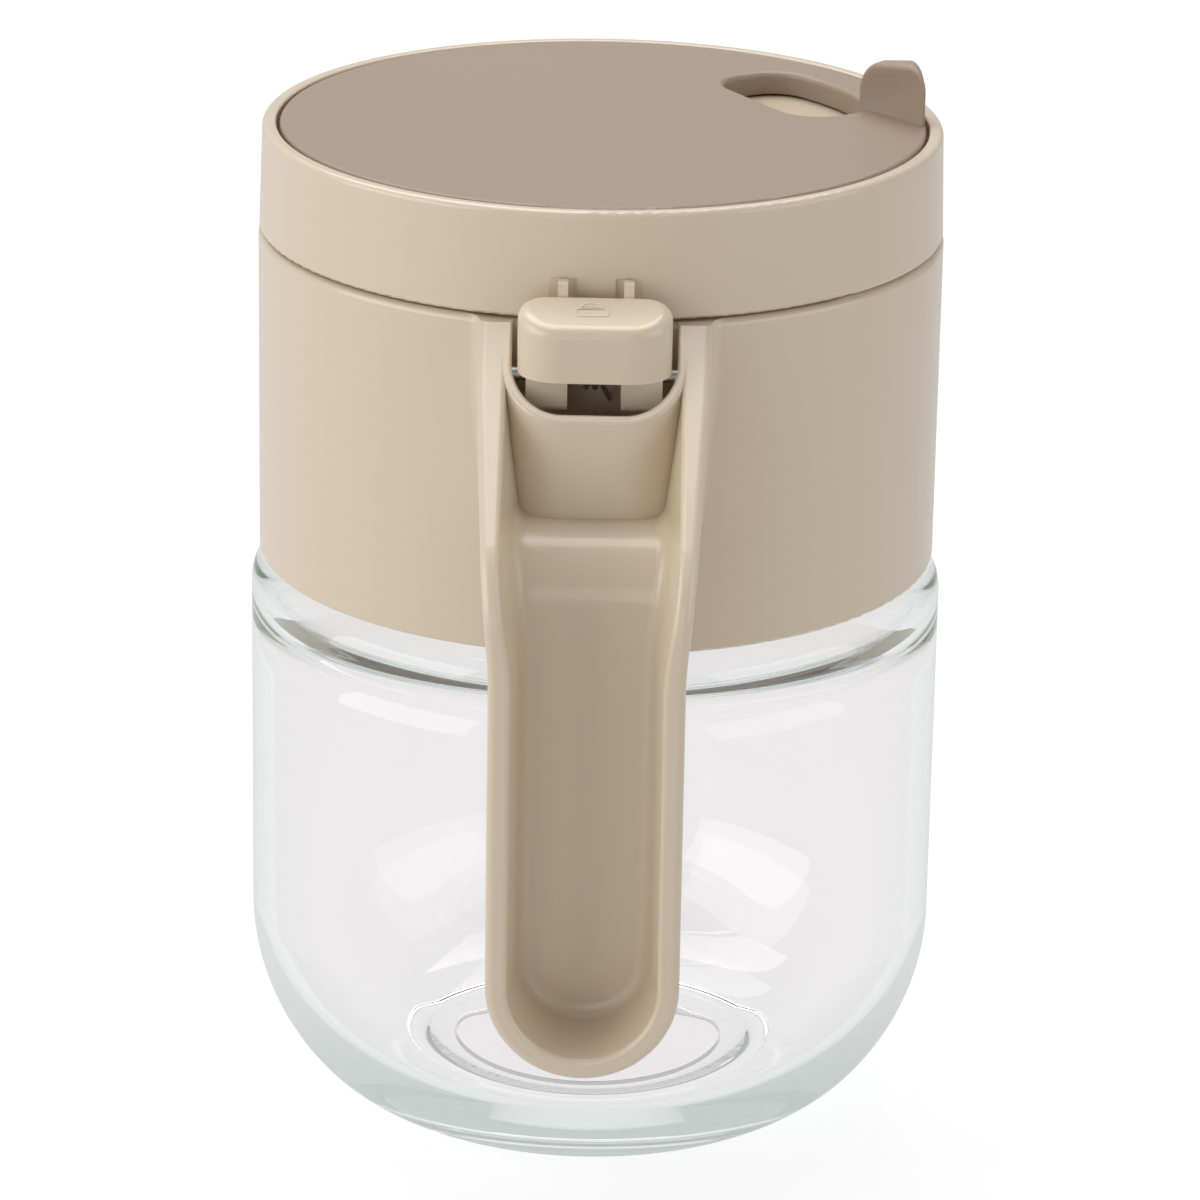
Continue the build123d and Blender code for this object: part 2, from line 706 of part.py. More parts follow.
button_outer = button_block(0)
button_hollow = button_block(button_wall)
with BuildPart() as press_button:
    add(button_outer)
    fillet(press_button.faces().filter_by(lambda f: f.normal_at().Z > 0.8).edges(), button_edge)
    add(button_hollow, mode=Mode.SUBTRACT)
    for side in (-1, 1):
        with BuildSketch(Plane.YZ.offset(side * prong_spacing / 2)):
            with BuildLine():
                Polyline(
                    (-lid_radius - prong_gap, button_bottom_z),
                    (-lid_radius - prong_gap, prong_top_z),
                    (-button_rear - prong_gap, prong_top_z),
                    (-button_rear - button_wall / 2, button_rear_z - button_edge),
                    (-button_rear - button_wall / 2, button_bottom_z),
                    close=True,
                )
            make_face()
            fillet(corner(-button_rear - prong_gap, prong_top_z), prong_width / 3)
        extrude(amount=prong_width / 2, both=True)
        with BuildSketch(Plane.YZ.offset(side * leg_middle)):
            with BuildLine():
                Polyline(
                    (-leg_rear, button_bottom_z + button_wall),
                    (-leg_front, button_bottom_z + button_wall),
                    (-leg_front, leg_bottom_z),
                    (-leg_rear, leg_bottom_z),
                    close=True,
                )
            make_face()
            fillet([corner(-leg_front, leg_bottom_z), corner(-leg_rear, leg_bottom_z)], leg_depth / 4)
        extrude(amount=(leg_outer - leg_inner) / 2, both=True)
        with BuildSketch(Plane.YZ.offset(side * leg_middle)):
            with BuildLine():
                Polyline(
                    (-leg_rear, button_bottom_z),
                    (-leg_front, button_bottom_z),
                    (-leg_front, button_rear_z - button_fall),
                    (-leg_rear, button_rear_z - button_fall),
                    close=True,
                )
            make_face()
        extrude(amount=button_wall / 2, both=True)
    with BuildSketch(Plane.YZ):
        with Locations((-pivot_reach, pivot_z)):
            Circle(latch_pin_radius + running_gap)
    extrude(amount=button_width / 2, both=True, mode=Mode.SUBTRACT)
press_button.part.label = "press_button"

# Lid: rim, plate under the disc, boss for the disc's hub, and the ears of the rear hinge
ear_middle = (ear_inner + ear_outer) / 2
with BuildPart() as lid_shell:
    with BuildSketch(Plane.XZ):
        with BuildLine():
            Polyline(
                (lid_radius, lid_bottom_z),
                (lid_radius - lid_draft, lid_top_z),
                (rim_inner, lid_top_z),
                (rim_inner, plate_top_z),
                (hub_radius + running_gap, plate_top_z),
                (hub_radius + running_gap, boss_end_z),
                (boss_radius, boss_end_z),
                (boss_radius, plate_under_z),
                (rim_inner, plate_under_z),
                (rim_inner, lid_bottom_z),
                close=True,
            )
        make_face()
        fillet(corner(lid_radius - lid_draft, lid_top_z), lid_edge)
        fillet(corner(rim_inner, lid_top_z), lid_edge / 2)
        fillet(corner(lid_radius, lid_bottom_z), lid_edge / 2)
    revolve()
    sprinkle_holes(plate_under_z, lid_plate)
    pouring_hole(plate_under_z, lid_plate)
    with BuildSketch(Plane.XZ.offset(lid_radius - catch_depth)):
        with Locations((0, prong_top_z - catch_height / 2)):
            with GridLocations(prong_spacing, 0, 2, 1):
                Rectangle(catch_width, catch_height)
    extrude(amount=catch_depth, mode=Mode.SUBTRACT)
    for side in (-1, 1):
        with BuildSketch(Plane.YZ.offset(side * ear_middle)):
            with BuildLine():
                Polyline(
                    (rim_inner + lid_rim / 2, lid_bottom_z),
                    (hinge_y, lid_bottom_z),
                    (hinge_y + knuckle_radius * sqrt(0.5), hinge_z + knuckle_radius * sqrt(0.5)),
                    (rim_inner + lid_rim / 2, lid_bottom_z + ear_web_height),
                    close=True,
                )
            make_face()
            with Locations((hinge_y, hinge_z)):
                Circle(knuckle_radius)
        extrude(amount=(ear_outer - ear_inner) / 2, both=True)
    bridge_y = hinge_y - hinge_coil_radius + wire_radius + bridge_gap + bridge_depth / 2
    with BuildSketch(Plane.YZ):
        with Locations((bridge_y, lid_bottom_z + hinge_leg_up / 2)):
            Rectangle(bridge_depth, bridge_height)
    extrude(amount=ear_inner, both=True)
    with BuildSketch(Plane.YZ):
        with Locations((hinge_y, hinge_z)):
            Circle(hinge_pin_radius + running_gap)
    extrude(amount=ear_outer, both=True, mode=Mode.SUBTRACT)
lid_shell.part.label = "lid_shell"

# Liner under the lid: plate, plug skirt and the cup that covers the disc's screw
liner_end_z = plate_under_z - liner_depth
cup_inner = boss_radius + cup_gap
screw_end_z = hub_end_z - washer_thickness - screw_head_height
cup_floor_z = screw_end_z - cup_clearance
groove_radius = liner_radius - lid_seal_groove
seal_outer = mouth_radius - lid_seal_gap
seal_z = liner_end_z + lid_seal_rise
with BuildPart() as lid_liner:
    with BuildSketch(Plane.XZ):
        with BuildLine():
            Polyline(
                (liner_radius, plate_under_z),
                (liner_radius, seal_z + lid_seal_height),
                (groove_radius, seal_z + lid_seal_height),
                (groove_radius, seal_z),
                (liner_radius, seal_z),
                (liner_radius, liner_end_z),
                (liner_inner, liner_end_z),
                (liner_inner, liner_under_z),
                (cup_inner + cup_wall, liner_under_z),
                (cup_inner + cup_wall, cup_floor_z - cup_wall),
                (0, cup_floor_z - cup_wall),
                (0, cup_floor_z),
                (cup_inner, cup_floor_z),
                (cup_inner, plate_under_z),
                close=True,
            )
        make_face()
        chamfer(corner(cup_inner + cup_wall, cup_floor_z - cup_wall), cup_wall / 2)
    revolve()
    sprinkle_holes(liner_under_z, liner_plate)
    pouring_hole(liner_under_z, liner_plate)
lid_liner.part.label = "lid_liner"

with BuildPart() as lid_seal:
    with BuildSketch(Plane.XZ):
        with BuildLine():
            Polyline(
                (groove_radius, seal_z),
                (seal_outer, seal_z),
                (seal_outer, seal_z + lid_seal_height),
                (groove_radius, seal_z + lid_seal_height),
                close=True,
            )
        make_face()
        chamfer([corner(seal_outer, seal_z), corner(seal_outer, seal_z + lid_seal_height)], lid_seal_bevel)
    revolve()
lid_seal.part.label = "lid_seal"

# Tab that turns the disc: its front is hollow and the disc's own edge cuts it off
tab_foot_z = lid_top_z - disc_thickness / 2
tab_top_z = lid_top_z + tab_height
tab_offset = disc_radius - tab_inset
tab_middle = disc_radius - tab_aside
tab_near = -tab_middle - tab_length / 2
tab_far = -tab_middle + tab_length / 2
tab_rise = tab_length / 2 * tan(radians(tab_slope))
tab_dish_reach = sqrt(tab_dish_radius**2 - (tab_length / 2) ** 2)
tab_face = Plane(
    origin=(tab_offset * cos(radians(tab_azimuth)), tab_offset * sin(radians(tab_azimuth)), 0),
    x_dir=(-sin(radians(tab_azimuth)), cos(radians(tab_azimuth)), 0),
    z_dir=(cos(radians(tab_azimuth)), sin(radians(tab_azimuth)), 0),
)
tab_dish_centre = tab_face.from_local_coords((-tab_middle, 0, -tab_dish_reach))


def on_tab_outline(edge):
    """Whether an edge runs round the tab's front or back, where the disc's edge doesn't cut the back."""
    spot = tab_face.to_local_coords(edge.center())
    across = abs((edge % 0.5).dot(tab_face.z_dir)) > 0.5
    cut_back = spot.Z > tab_thickness / 2 and spot.X < -tab_middle - tab_corner / 2
    return not across and not cut_back and spot.Y > tab_foot_z + tab_edge


with BuildPart() as tab:
    with BuildSketch(tab_face):
        with BuildLine():
            Polyline(
                (tab_near, tab_foot_z),
                (tab_far, tab_foot_z),
                (tab_far, tab_top_z - tab_rise),
                (tab_near, tab_top_z + tab_rise),
                close=True,
            )
        make_face()
        fillet([corner(tab_far, tab_top_z - tab_rise), corner(tab_near, tab_top_z + tab_rise)], tab_corner)
    extrude(amount=tab_thickness)
    with BuildSketch(Plane.XY.offset(tab_foot_z)):
        Circle(disc_radius - tab_rim_gap)
    extrude(amount=tab_top_z + tab_rise - tab_foot_z, mode=Mode.INTERSECT)
    with BuildSketch(Plane.XY.offset(tab_foot_z)):
        with Locations((tab_dish_centre.X, tab_dish_centre.Y)):
            Circle(tab_dish_radius)
    extrude(amount=tab_top_z + tab_rise - tab_foot_z, mode=Mode.SUBTRACT)
    fillet(tab.edges().filter_by(on_tab_outline), tab_edge)

with BuildPart() as turn_disc:
    with BuildSketch(Plane.XY.offset(disc_under_z)):
        Circle(disc_radius)
    extrude(amount=disc_thickness)
    fillet(turn_disc.edges().group_by(Axis.Z)[-1], disc_edge)
    with BuildSketch(Plane.XY.offset(disc_under_z).rotated((0, 0, slot_azimuth))):
        add(slot_outline(slot_inner, slot_outer, slot_length / 2, slot_corner))
    extrude(amount=disc_thickness, mode=Mode.SUBTRACT)
    fillet(turn_disc.faces().sort_by(Axis.Z)[-1].inner_wires()[0].edges(), slot_edge)
    add(tab.part)
    with BuildSketch(Plane.XY.offset(hub_end_z)):
        Circle(hub_radius)
    extrude(amount=disc_under_z - hub_end_z)
    with BuildSketch(Plane.XY.offset(hub_end_z)):
        Circle(screw_radius + fixed_gap)
    extrude(amount=screw_length, mode=Mode.SUBTRACT)
turn_disc.part.label = "turn_disc"

# Washer and screw that hold the disc's hub in the lid
washer_z = hub_end_z - washer_thickness
with BuildPart() as hub_washer:
    with BuildSketch(Plane.XY.offset(washer_z)):
        Circle(washer_radius)
        Circle(screw_radius + fixed_gap, mode=Mode.SUBTRACT)
    extrude(amount=washer_thickness)
hub_washer.part.label = "hub_washer"

with BuildPart() as hub_screw:
    with BuildSketch(Plane.XZ):
        with BuildLine():
            Polyline(
                (0, screw_end_z),
                (screw_head_radius, screw_end_z),
                (screw_head_radius, washer_z),
                (screw_radius, washer_z),
                (screw_radius, hub_end_z + screw_length - screw_radius),
                (0, hub_end_z + screw_length - screw_radius),
                close=True,
            )
        make_face()
        chamfer(corner(screw_head_radius, screw_end_z), screw_head_height / 3)
    revolve()
hub_screw.part.label = "hub_screw"

pieces = [
    glass_jar.part,
    neck_seal.part,
    thread_sleeve.part,
    collar_handle.part,
    latch_pin.part,
    latch_spring,
    hinge_pin.part,
    hinge_spring,
    press_button.part,
    lid_shell.part,
    lid_liner.part,
    lid_seal.part,
    turn_disc.part,
    hub_washer.part,
    hub_screw.part,
]
os.makedirs("parts", exist_ok=True)
for piece in pieces:
    export_step(piece, "parts/" + piece.label + ".step")
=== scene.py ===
from math import acos, asin, atan2, cos, degrees, pi, radians, sin, sqrt, tan

import bmesh
import bpy
from mathutils import Matrix, Vector


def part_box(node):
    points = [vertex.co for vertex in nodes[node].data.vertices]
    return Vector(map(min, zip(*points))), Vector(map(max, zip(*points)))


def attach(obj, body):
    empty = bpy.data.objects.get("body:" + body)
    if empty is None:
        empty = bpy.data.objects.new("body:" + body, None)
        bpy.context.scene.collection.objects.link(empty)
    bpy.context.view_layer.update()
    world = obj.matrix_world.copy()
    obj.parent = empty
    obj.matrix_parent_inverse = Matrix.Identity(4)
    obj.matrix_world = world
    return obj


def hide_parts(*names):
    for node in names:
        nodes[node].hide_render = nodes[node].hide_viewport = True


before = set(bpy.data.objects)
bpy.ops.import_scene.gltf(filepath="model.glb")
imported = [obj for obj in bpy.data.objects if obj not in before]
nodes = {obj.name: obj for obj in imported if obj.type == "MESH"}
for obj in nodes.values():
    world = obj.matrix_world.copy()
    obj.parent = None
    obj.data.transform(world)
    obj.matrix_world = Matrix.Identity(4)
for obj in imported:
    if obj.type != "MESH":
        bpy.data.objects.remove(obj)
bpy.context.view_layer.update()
mm = 0.001
mergeDistance = 0.001 * mm
print("frame loaded:", len(nodes), "nodes")


# colours are written as they look on a screen, 0 to 255, and shaders want them linear
def linearColour(red, green, blue):
    def channel(value):
        value = value / 255
        return value / 12.92 if value <= 0.04045 else ((value + 0.055) / 1.055) ** 2.4
    return (channel(red), channel(green), channel(blue), 1)


# a math node, whose inputs are numbers or other nodes' outputs
def addMath(tree, operation, *values):
    node = tree.nodes.new("ShaderNodeMath")
    node.operation = operation
    for socket, value in zip(node.inputs, values):
        if isinstance(value, bpy.types.NodeSocket):
            tree.links.new(value, socket)
        else:
            socket.default_value = value
    return node.outputs[0]


# shared effect: faint cloudiness in colour and gloss, and the fine skin of a moulded or drawn piece
def makeMouldedSkin():
    pattern = {"cloudDetail": 3, "skinDetail": 2, "skinDepth": 0.02}
    group = bpy.data.node_groups.new("mouldedSkin", "ShaderNodeTree")
    interface = group.interface
    for name, kind, value in (
        ("Colour", "NodeSocketColor", (0.5, 0.5, 0.5, 1)),
        ("Cloudiness", "NodeSocketFloat", 0.02),
        ("Cloud Scale", "NodeSocketFloat", 40),
        ("Skin Scale", "NodeSocketFloat", 2500),
        ("Roughness", "NodeSocketFloat", 0.3),
        ("Roughness Spread", "NodeSocketFloat", 0.05),
        ("Bump", "NodeSocketFloat", 0.1),
    ):
        socket = interface.new_socket(name=name, in_out="INPUT", socket_type=kind)
        socket.default_value = value
    interface.new_socket(name="Colour", in_out="OUTPUT", socket_type="NodeSocketColor")
    interface.new_socket(name="Roughness", in_out="OUTPUT", socket_type="NodeSocketFloat")
    interface.new_socket(name="Normal", in_out="OUTPUT", socket_type="NodeSocketVector")

    new = group.nodes.new
    link = group.links.new
    given = new("NodeGroupInput")
    result = new("NodeGroupOutput")
    place = new("ShaderNodeTexCoord")
    cloud = new("ShaderNodeTexNoise")
    cloud.inputs["Detail"].default_value = pattern["cloudDetail"]
    skin = new("ShaderNodeTexNoise")
    skin.inputs["Detail"].default_value = pattern["skinDetail"]
    link(place.outputs["Object"], cloud.inputs["Vector"])
    link(place.outputs["Object"], skin.inputs["Vector"])
    link(given.outputs["Cloud Scale"], cloud.inputs["Scale"])
    link(given.outputs["Skin Scale"], skin.inputs["Scale"])

    centred = addMath(group, "SUBTRACT", cloud.outputs["Fac"], 0.5)
    spread = addMath(group, "MULTIPLY_ADD", centred, given.outputs["Cloudiness"], 1)
    tint = new("ShaderNodeVectorMath")
    tint.operation = "SCALE"
    link(given.outputs["Colour"], tint.inputs[0])
    link(spread, tint.inputs["Scale"])
    link(tint.outputs["Vector"], result.inputs["Colour"])

    rough = addMath(
        group, "MULTIPLY_ADD", centred, given.outputs["Roughness Spread"], given.outputs["Roughness"]
    )
    link(rough, result.inputs["Roughness"])

    bump = new("ShaderNodeBump")
    bump.inputs["Distance"].default_value = pattern["skinDepth"] * mm
    link(given.outputs["Bump"], bump.inputs["Strength"])
    link(skin.outputs["Fac"], bump.inputs["Height"])
    link(bump.outputs["Normal"], result.inputs["Normal"])
    return group


mouldedSkin = makeMouldedSkin()


def newMaterial(name):
    material = bpy.data.materials.new(name)
    material.use_nodes = True
    shader = material.node_tree.nodes["Principled BSDF"]
    return material, shader


# places the skin in a material, with the values that its look gives
def addSkin(material, shader, look):
    skin = material.node_tree.nodes.new("ShaderNodeGroup")
    skin.node_tree = mouldedSkin
    skin.inputs["Colour"].default_value = linearColour(*look["colour"])
    for socket, key in (
        ("Cloudiness", "cloudiness"), ("Cloud Scale", "cloudScale"), ("Skin Scale", "skinScale"),
        ("Roughness", "roughness"), ("Roughness Spread", "roughnessSpread"), ("Bump", "bump"),
    ):
        if key in look:
            skin.inputs[socket].default_value = look[key]
    material.node_tree.links.new(skin.outputs["Colour"], shader.inputs["Base Color"])
    material.node_tree.links.new(skin.outputs["Roughness"], shader.inputs["Roughness"])
    return skin


def mouldedPlastic(name, look):
    material, shader = newMaterial(name)
    skin = addSkin(material, shader, look)
    material.node_tree.links.new(skin.outputs["Normal"], shader.inputs["Normal"])
    shader.inputs["IOR"].default_value = look["ior"]
    shader.inputs["Coat Weight"].default_value = look["coat"]
    shader.inputs["Coat Roughness"].default_value = look["coatRoughness"]
    return material


def steelWire(name, look):
    material, shader = newMaterial(name)
    addSkin(material, shader, look)
    shader.inputs["Metallic"].default_value = 1
    return material


# light from the lamps passes the glass, so what stands inside it is lit, and light that
# has been thrown back inside the wall a few times leaves it
def clearGlass(name, look):
    material, shader = newMaterial(name)
    shader.inputs["Base Color"].default_value = look["tint"]
    shader.inputs["Roughness"].default_value = look["roughness"]
    shader.inputs["IOR"].default_value = look["ior"]
    shader.inputs["Transmission Weight"].default_value = 1
    tree = material.node_tree
    output = tree.nodes["Material Output"]
    path = tree.nodes.new("ShaderNodeLightPath")
    trapped = addMath(tree, "GREATER_THAN", path.outputs["Glossy Depth"], look["innerReflections"])
    straight = addMath(tree, "MAXIMUM", path.outputs["Is Shadow Ray"], trapped)
    clear = tree.nodes.new("ShaderNodeBsdfTransparent")
    clear.inputs["Color"].default_value = look["shadowTint"]
    mix = tree.nodes.new("ShaderNodeMixShader")
    tree.links.new(straight, mix.inputs["Fac"])
    tree.links.new(shader.outputs["BSDF"], mix.inputs[1])
    tree.links.new(clear.outputs["BSDF"], mix.inputs[2])
    tree.links.new(mix.outputs["Shader"], output.inputs["Surface"])
    body = tree.nodes.new("ShaderNodeVolumeAbsorption")
    body.inputs["Color"].default_value = look["bodyColour"]
    body.inputs["Density"].default_value = look["bodyDensity"]
    tree.links.new(body.outputs["Volume"], output.inputs["Volume"])
    return material


looks = {
    "shell": {
        "colour": (219, 202, 178), "cloudiness": 0.012, "cloudScale": 25, "skinScale": 1600,
        "roughness": 0.3, "roughnessSpread": 0.02, "bump": 0.06, "ior": 1.5, "coat": 0.4,
        "coatRoughness": 0.05,
    },
    "disc": {
        "colour": (160, 141, 123), "cloudiness": 0.012, "cloudScale": 30, "skinScale": 3500,
        "roughness": 0.42, "roughnessSpread": 0.06, "bump": 0.25, "ior": 1.47, "coat": 0.0,
        "coatRoughness": 0.1,
    },
    "liner": {
        "colour": (236, 232, 224), "cloudiness": 0.02, "cloudScale": 50, "skinScale": 2500,
        "roughness": 0.4, "roughnessSpread": 0.06, "bump": 0.2, "ior": 1.47, "coat": 0.0,
        "coatRoughness": 0.1,
    },
    "seal": {
        "colour": (228, 226, 220), "cloudiness": 0.03, "cloudScale": 80, "skinScale": 4500,
        "roughness": 0.55, "roughnessSpread": 0.08, "bump": 0.3, "ior": 1.41, "coat": 0.0,
        "coatRoughness": 0.1,
    },
    "steel": {
        "colour": (150, 147, 143), "cloudiness": 0.1, "cloudScale": 900, "roughness": 0.4,
        "roughnessSpread": 0.05,
    },
    # trappedLight is the share of the room's white that light trapped in the glass still shows
    "glass": {
        "tint": (0.94, 0.92, 0.925, 1), "roughness": 0.0, "ior": 1.45,
        "shadowTint": (0.95, 0.95, 0.95, 1), "innerReflections": 2.5, "trappedLight": 0.3,
        "bodyColour": (0.5, 0.75, 0.68, 1), "bodyDensity": 12.0,
    },
}
shellPlastic = mouldedPlastic("shellPlastic", looks["shell"])
discPlastic = mouldedPlastic("discPlastic", looks["disc"])
linerPlastic = mouldedPlastic("linerPlastic", looks["liner"])
sealSilicone = mouldedPlastic("sealSilicone", looks["seal"])
springSteel = steelWire("springSteel", looks["steel"])
jarGlass = clearGlass("jarGlass", looks["glass"])
print("materials made:", len(bpy.data.materials))

nodeFinish = {
    "collar_handle": shellPlastic, "press_button": shellPlastic, "lid_shell": shellPlastic,
    "turn_disc": discPlastic, "thread_sleeve": linerPlastic, "lid_liner": linerPlastic,
    "neck_seal": sealSilicone, "lid_seal": sealSilicone, "glass_jar": jarGlass,
    "latch_pin": springSteel, "latch_spring": springSteel, "hinge_pin": springSteel,
    "hinge_spring": springSteel, "hub_washer": springSteel, "hub_screw": springSteel,
}
for name, material in nodeFinish.items():
    nodes[name].data.materials.clear()
    nodes[name].data.materials.append(material)
print("finishes given to the frame's nodes:", len(nodeFinish))


# a profile is a chain of corners ("to", radius, height) and round stretches ("bend", centre radius,
# centre height, width, height, first angle, last angle, steps), in millimetres and degrees
def drawProfile(bm, stretches):
    points = []
    for kind, *data in stretches:
        if kind == "to":
            points.append(tuple(data))
        else:
            centreR, centreZ, width, height, first, last, steps = data
            for step in range(steps + 1):
                angle = radians(first + (last - first) * step / steps)
                points.append((centreR + width * cos(angle), centreZ + height * sin(angle)))
    chain = [bm.verts.new((radius * mm, 0, height * mm)) for radius, height in points]
    for one, other in zip(chain, chain[1:]):
        bm.edges.new((one, other))


# the drawn mesh becomes a piece that rides on its body, in place of a solid where one is named
def finishPiece(bm, name, material, body, sharpAngle, replaced=()):
    bmesh.ops.remove_doubles(bm, verts=bm.verts, dist=mergeDistance)
    bmesh.ops.recalc_face_normals(bm, faces=bm.faces)
    mesh = bpy.data.meshes.new(name)
    bm.to_mesh(mesh)
    bm.free()
    mesh.shade_smooth()
    mesh.set_sharp_from_angle(angle=radians(sharpAngle))
    mesh.materials.append(material)
    piece = bpy.data.objects.new(name, mesh)
    bpy.context.scene.collection.objects.link(piece)
    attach(piece, body)
    if replaced:
        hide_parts(*replaced)
    return piece


def turnProfile(bm, segments):
    bmesh.ops.spin(
        bm, geom=bm.verts[:] + bm.edges[:], cent=(0, 0, 0), axis=(0, 0, 1), angle=2 * pi, steps=segments,
        use_merge=True
    )


# two round stretches that meet smoothly, from flat at the foot, or just past a groove there, to upright
# at the side
def heelBends(foot, bottomZ, width, height, bend, steps, groove=0):
    # upper is the second stretch's radius, and meeting the angle at which the first passes into it
    upper = (width ** 2 + height ** 2 - 2 * height * bend) / (2 * (width - bend))
    meeting = 360 - degrees(atan2(height - bend, upper - width))
    return (
        ("bend", foot, bottomZ + bend, bend, bend, 270 + degrees(asin(groove / bend)), meeting, steps),
        ("bend", foot + width - upper, bottomZ + height, upper, upper, meeting, 360, steps),
    )


# the jar's glass, turned from one wall outline
def makeGlassJar():
    jar = {
        "radius": 43.1, "wall": 2.8, "floor": 6.0, "heelWidth": 22.0, "heelHeight": 25.4, "heelBend": 20.0,
        "footWidth": 3.4, "pushUp": 1.6, "edgeRun": 0.3, "grooveWidth": 3.2, "grooveDepth": 0.35,
        "innerHeelWidth": 17.5, "innerHeelHeight": 20.0, "innerHeelBend": 15.5, "shoulder": 4.0,
        "innerShoulder": 9.0, "shoulderGlass": 3.4, "shoulderZ": 72.3, "neckRadius": 35.5,
        "neckWall": 3.5, "lip": 1.1, "lipSteps": 6, "bendSteps": 28, "segments": 256, "sharpAngle": 50,
    }
    radius = jar["radius"]
    foot = radius - jar["heelWidth"]
    inner = radius - jar["wall"]
    neck = jar["neckRadius"]
    bore = neck - jar["neckWall"]
    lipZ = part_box("glass_jar")[1].z / mm
    shoulderZ = jar["shoulderZ"]
    innerZ = shoulderZ - jar["shoulderGlass"]
    bend = jar["bendSteps"]
    lip, lipSteps = jar["lip"], jar["lipSteps"]
    corner = jar["shoulder"]
    innerCorner = jar["innerShoulder"]
    innerCentre = inner - innerCorner
    innerEnd = degrees(acos((bore + lip - innerCentre) / innerCorner))
    flat = inner - jar["innerHeelWidth"]
    footIn = foot - jar["footWidth"]
    run = jar["edgeRun"]
    grooveRise = jar["heelBend"] - sqrt(jar["heelBend"] ** 2 - jar["grooveWidth"] ** 2)
    outerHeel = heelBends(
        foot, 0, jar["heelWidth"], jar["heelHeight"], jar["heelBend"], bend, jar["grooveWidth"] + run
    )
    innerHeel = heelBends(
        flat, jar["floor"], jar["innerHeelWidth"], jar["innerHeelHeight"], jar["innerHeelBend"], bend
    )
    bm = bmesh.new()
    drawProfile(bm, (
        ("to", 0, jar["pushUp"]),
        ("to", footIn - run, jar["pushUp"]),
        ("to", footIn, 0),
        ("to", foot, 0),
        ("to", foot + run, jar["grooveDepth"]),
        ("to", foot + jar["grooveWidth"], jar["grooveDepth"] + grooveRise),
        *outerHeel,
        ("bend", radius - corner, shoulderZ - corner, corner, corner, 0, 90, bend),
        ("bend", neck + lip, shoulderZ + lip, lip, lip, 270, 180, lipSteps),
        ("bend", neck - lip, lipZ - lip, lip, lip, 0, 90, lipSteps),
        ("bend", bore + lip, lipZ - lip, lip, lip, 90, 180, lipSteps),
        ("bend", bore + lip, innerZ + lip, lip, lip, 180, 270, lipSteps),
        (
            "bend", innerCentre, innerZ - innerCorner * sin(radians(innerEnd)), innerCorner, innerCorner,
            innerEnd, 0, bend
        ),
        *(stretch[:5] + (stretch[6], stretch[5], stretch[7]) for stretch in reversed(innerHeel)),
        ("to", 0, jar["floor"]),
    ))
    turnProfile(bm, jar["segments"])
    finishPiece(bm, "glassJar", jarGlass, "jar", jar["sharpAngle"], ["glass_jar"])


makeGlassJar()
print("jar turned")


# a right-handed screw thread's ridge: it climbs as it goes anticlockwise seen from above, runs out at both
# ends, and stands inwards where its reach is less than 0
def makeThread(name, material, body, ridge):
    stepAngle = 2 * pi / ridge["stepsPerTurn"]
    rise = ridge["lead"] / ridge["stepsPerTurn"]
    count = round(ridge["turns"] * ridge["stepsPerTurn"])
    out = 1 if ridge["reach"] > 0 else -1
    root = ridge["radius"] - out * ridge["sink"]
    tip = root + out * ridge["endHeight"]
    bm = bmesh.new()
    corners = [
        bm.verts.new((radius * mm, 0, height * mm)) for radius, height in (
            (root, -ridge["foot"] / 2), (tip, -ridge["crest"] / 2),
            (tip, ridge["crest"] / 2), (root, ridge["foot"] / 2),
        )
    ]
    ring = [bm.edges.new((corners[index], corners[(index + 1) % 4])) for index in range(4)]
    for step in range(1, count + 1):
        made = bmesh.ops.extrude_edge_only(bm, edges=ring)["geom"]
        verts = [part for part in made if isinstance(part, bmesh.types.BMVert)]
        ring = [
            part for part in made
            if isinstance(part, bmesh.types.BMEdge) and set(part.verts) <= set(verts)
        ]
        crest = sorted(verts, key=lambda vert: -out * vert.co.xy.length)[:2]
        fade = min(1, step / ridge["runOut"], (count - step) / ridge["runOut"])
        fullHeight = abs(ridge["reach"]) + ridge["sink"]
        wanted = root + out * max(ridge["endHeight"], sin(fade * pi / 2) * fullHeight)
        factor = wanted * mm / crest[0].co.xy.length
        bmesh.ops.scale(bm, vec=(factor, factor, 1), verts=crest)
        bmesh.ops.rotate(bm, cent=(0, 0, 0), matrix=Matrix.Rotation(stepAngle, 3, "Z"), verts=verts)
        bmesh.ops.translate(bm, vec=(0, 0, rise * mm), verts=verts)
    bmesh.ops.holes_fill(bm, edges=[edge for edge in bm.edges if edge.is_boundary], sides=4)
    start = Matrix.Rotation(radians(ridge["start"]), 3, "Z")
    bmesh.ops.rotate(bm, cent=(0, 0, 0), matrix=start, verts=bm.verts)
    bmesh.ops.translate(bm, vec=(0, 0, ridge["startZ"] * mm), verts=bm.verts)
    finishPiece(bm, name, material, body, ridge["sharpAngle"])


neckRidge = {
    "radius": 35.5, "reach": 1.3, "sink": 0.15, "foot": 2.4, "crest": 1.1, "lead": 8.0, "turns": 1.15,
    "start": 0, "startZ": 78.3, "stepsPerTurn": 120, "runOut": 14, "endHeight": 0.01, "sharpAngle": 50,
}
sleeveRidge = {
    "radius": 37.25, "reach": -1.3, "sink": 0.15, "foot": 2.4, "crest": 1.1, "lead": 8.0, "turns": 0.75,
    "start": 0, "startZ": 75.7, "stepsPerTurn": 120, "runOut": 14, "endHeight": 0.01, "sharpAngle": 50,
}
makeThread("neckThread", jarGlass, "jar", neckRidge)
makeThread("sleeveThread", linerPlastic, "collar", sleeveRidge)
print("threads run")


